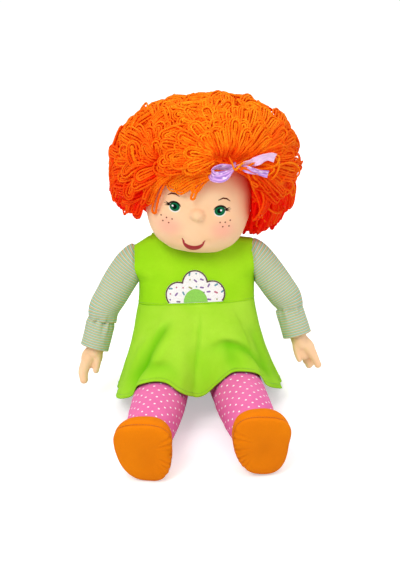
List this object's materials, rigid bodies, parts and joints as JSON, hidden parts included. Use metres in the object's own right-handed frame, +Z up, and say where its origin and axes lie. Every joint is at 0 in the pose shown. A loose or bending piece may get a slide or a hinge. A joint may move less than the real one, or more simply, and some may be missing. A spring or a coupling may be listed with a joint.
{
  "type": "doll",
  "caption": "Soft-bodied sitting doll with looped yarn hair, a vinyl head and hands, a sleeveless dress, striped sleeves, dotted legs and stuffed bootie shoes.",
  "frame": {"origin": "middle of the flat seat behind the legs, on the floor", "axes": "+Z up, the face looks along -Y, +X is the doll's left"},
  "size_m": [0.3258, 0.3742, 0.3831],
  "materials": {
    "skin": "soft vinyl, satin, peach",
    "yarn": "thick plied orange yarn in loops",
    "dress_green": "plain lime green woven cotton",
    "sleeve_stripes": "fine pale grey-green, yellow and pink stripes",
    "leg_dots": "pink knit with small white dots",
    "shoe_cloth": "orange brushed cloth",
    "ribbon": "lavender satin ribbon",
    "applique_white": "white printed felt with a dark edge",
    "applique_leaf": "mid green felt",
    "closure_tape": "white hook and loop tape",
    "lining": "plain cream body cloth",
    "fibre": "loose polyester stuffing",
    "tie": "thin nylon tie"
  },
  "bodies": {
    "torso": {"body_cover": "lining", "body_filling": "fibre", "dress_bodice": "dress_green", "dress_skirt": "dress_green", "flower_petals": "applique_white", "flower_centre": "applique_leaf", "back_hook_tape": "closure_tape", "back_loop_tape": "closure_tape"},
    "neck": {"neck_cloth": "lining", "neck_tie": "tie"},
    "head": {"head_shell": "skin", "wig_cap": "yarn", "hair_crown": "yarn", "hair_side_left": "yarn", "hair_side_right": "yarn", "hair_back": "yarn", "tied_lock_root": "yarn", "tied_lock_end": "yarn", "ribbon_knot": "ribbon", "ribbon_loop": "ribbon", "ribbon_tail_upper": "ribbon", "ribbon_tail_lower": "ribbon"},
    "arm_left": {"arm_sleeve_left": "sleeve_stripes", "arm_filling_left": "fibre", "wrist_tie_left": "tie", "sleeve_cuff_left": "sleeve_stripes"},
    "palm_left": {"hand_left": "skin"},
    "limb_left": {"leg_left": "leg_dots", "leg_filling_left": "fibre", "shoe_upper_left": "shoe_cloth", "shoe_filling_left": "fibre", "shoe_sole_left": "shoe_cloth"},
    "arm_right": {"arm_sleeve_right": "sleeve_stripes", "arm_filling_right": "fibre", "wrist_tie_right": "tie", "sleeve_cuff_right": "sleeve_stripes"},
    "palm_right": {"hand_right": "skin"},
    "limb_right": {"leg_right": "leg_dots", "leg_filling_right": "fibre", "shoe_upper_right": "shoe_cloth", "shoe_filling_right": "fibre", "shoe_sole_right": "shoe_cloth"}
  },
  "joints": [
    {"name": "head_tilt", "type": "hinge", "parent": "torso", "child": "neck", "pos_m": [0, 0.0203, 0.19317], "axis": [0, 1, 0], "range_deg": [-16, 0]},
    {"name": "head_turn", "type": "hinge", "parent": "neck", "child": "head", "pos_m": [0, 0.0203, 0.19317], "axis": [0.1384, 0.1045, 0.9848], "range_deg": [-22, 22]},
    {"name": "shoulder_left", "type": "hinge", "parent": "torso", "child": "arm_left", "pos_m": [0.075, 0.01314, 0.16974], "axis": [-1, 0, 0], "range_deg": [-40, 80]},
    {"name": "wrist_left", "type": "hinge", "parent": "arm_left", "child": "palm_left", "pos_m": [0.121, -0.01255, 0.10283], "axis": [-0.309, 0.2781, 0.9095], "range_deg": [-90, 90]},
    {"name": "hip_left", "type": "hinge", "parent": "torso", "child": "limb_left", "pos_m": [0.0415, -0.04676, 0.035], "axis": [-1, 0, 0], "range_deg": [-90, 0]},
    {"name": "shoulder_right", "type": "hinge", "parent": "torso", "child": "arm_right", "pos_m": [-0.075, 0.01314, 0.16974], "axis": [-1, 0, 0], "range_deg": [-40, 80]},
    {"name": "wrist_right", "type": "hinge", "parent": "arm_right", "child": "palm_right", "pos_m": [-0.121, -0.01255, 0.10283], "axis": [0.309, 0.2781, 0.9095], "range_deg": [-90, 90]},
    {"name": "hip_right", "type": "hinge", "parent": "torso", "child": "limb_right", "pos_m": [-0.0415, -0.04676, 0.035], "axis": [-1, 0, 0], "range_deg": [-90, 0]}
  ]
}
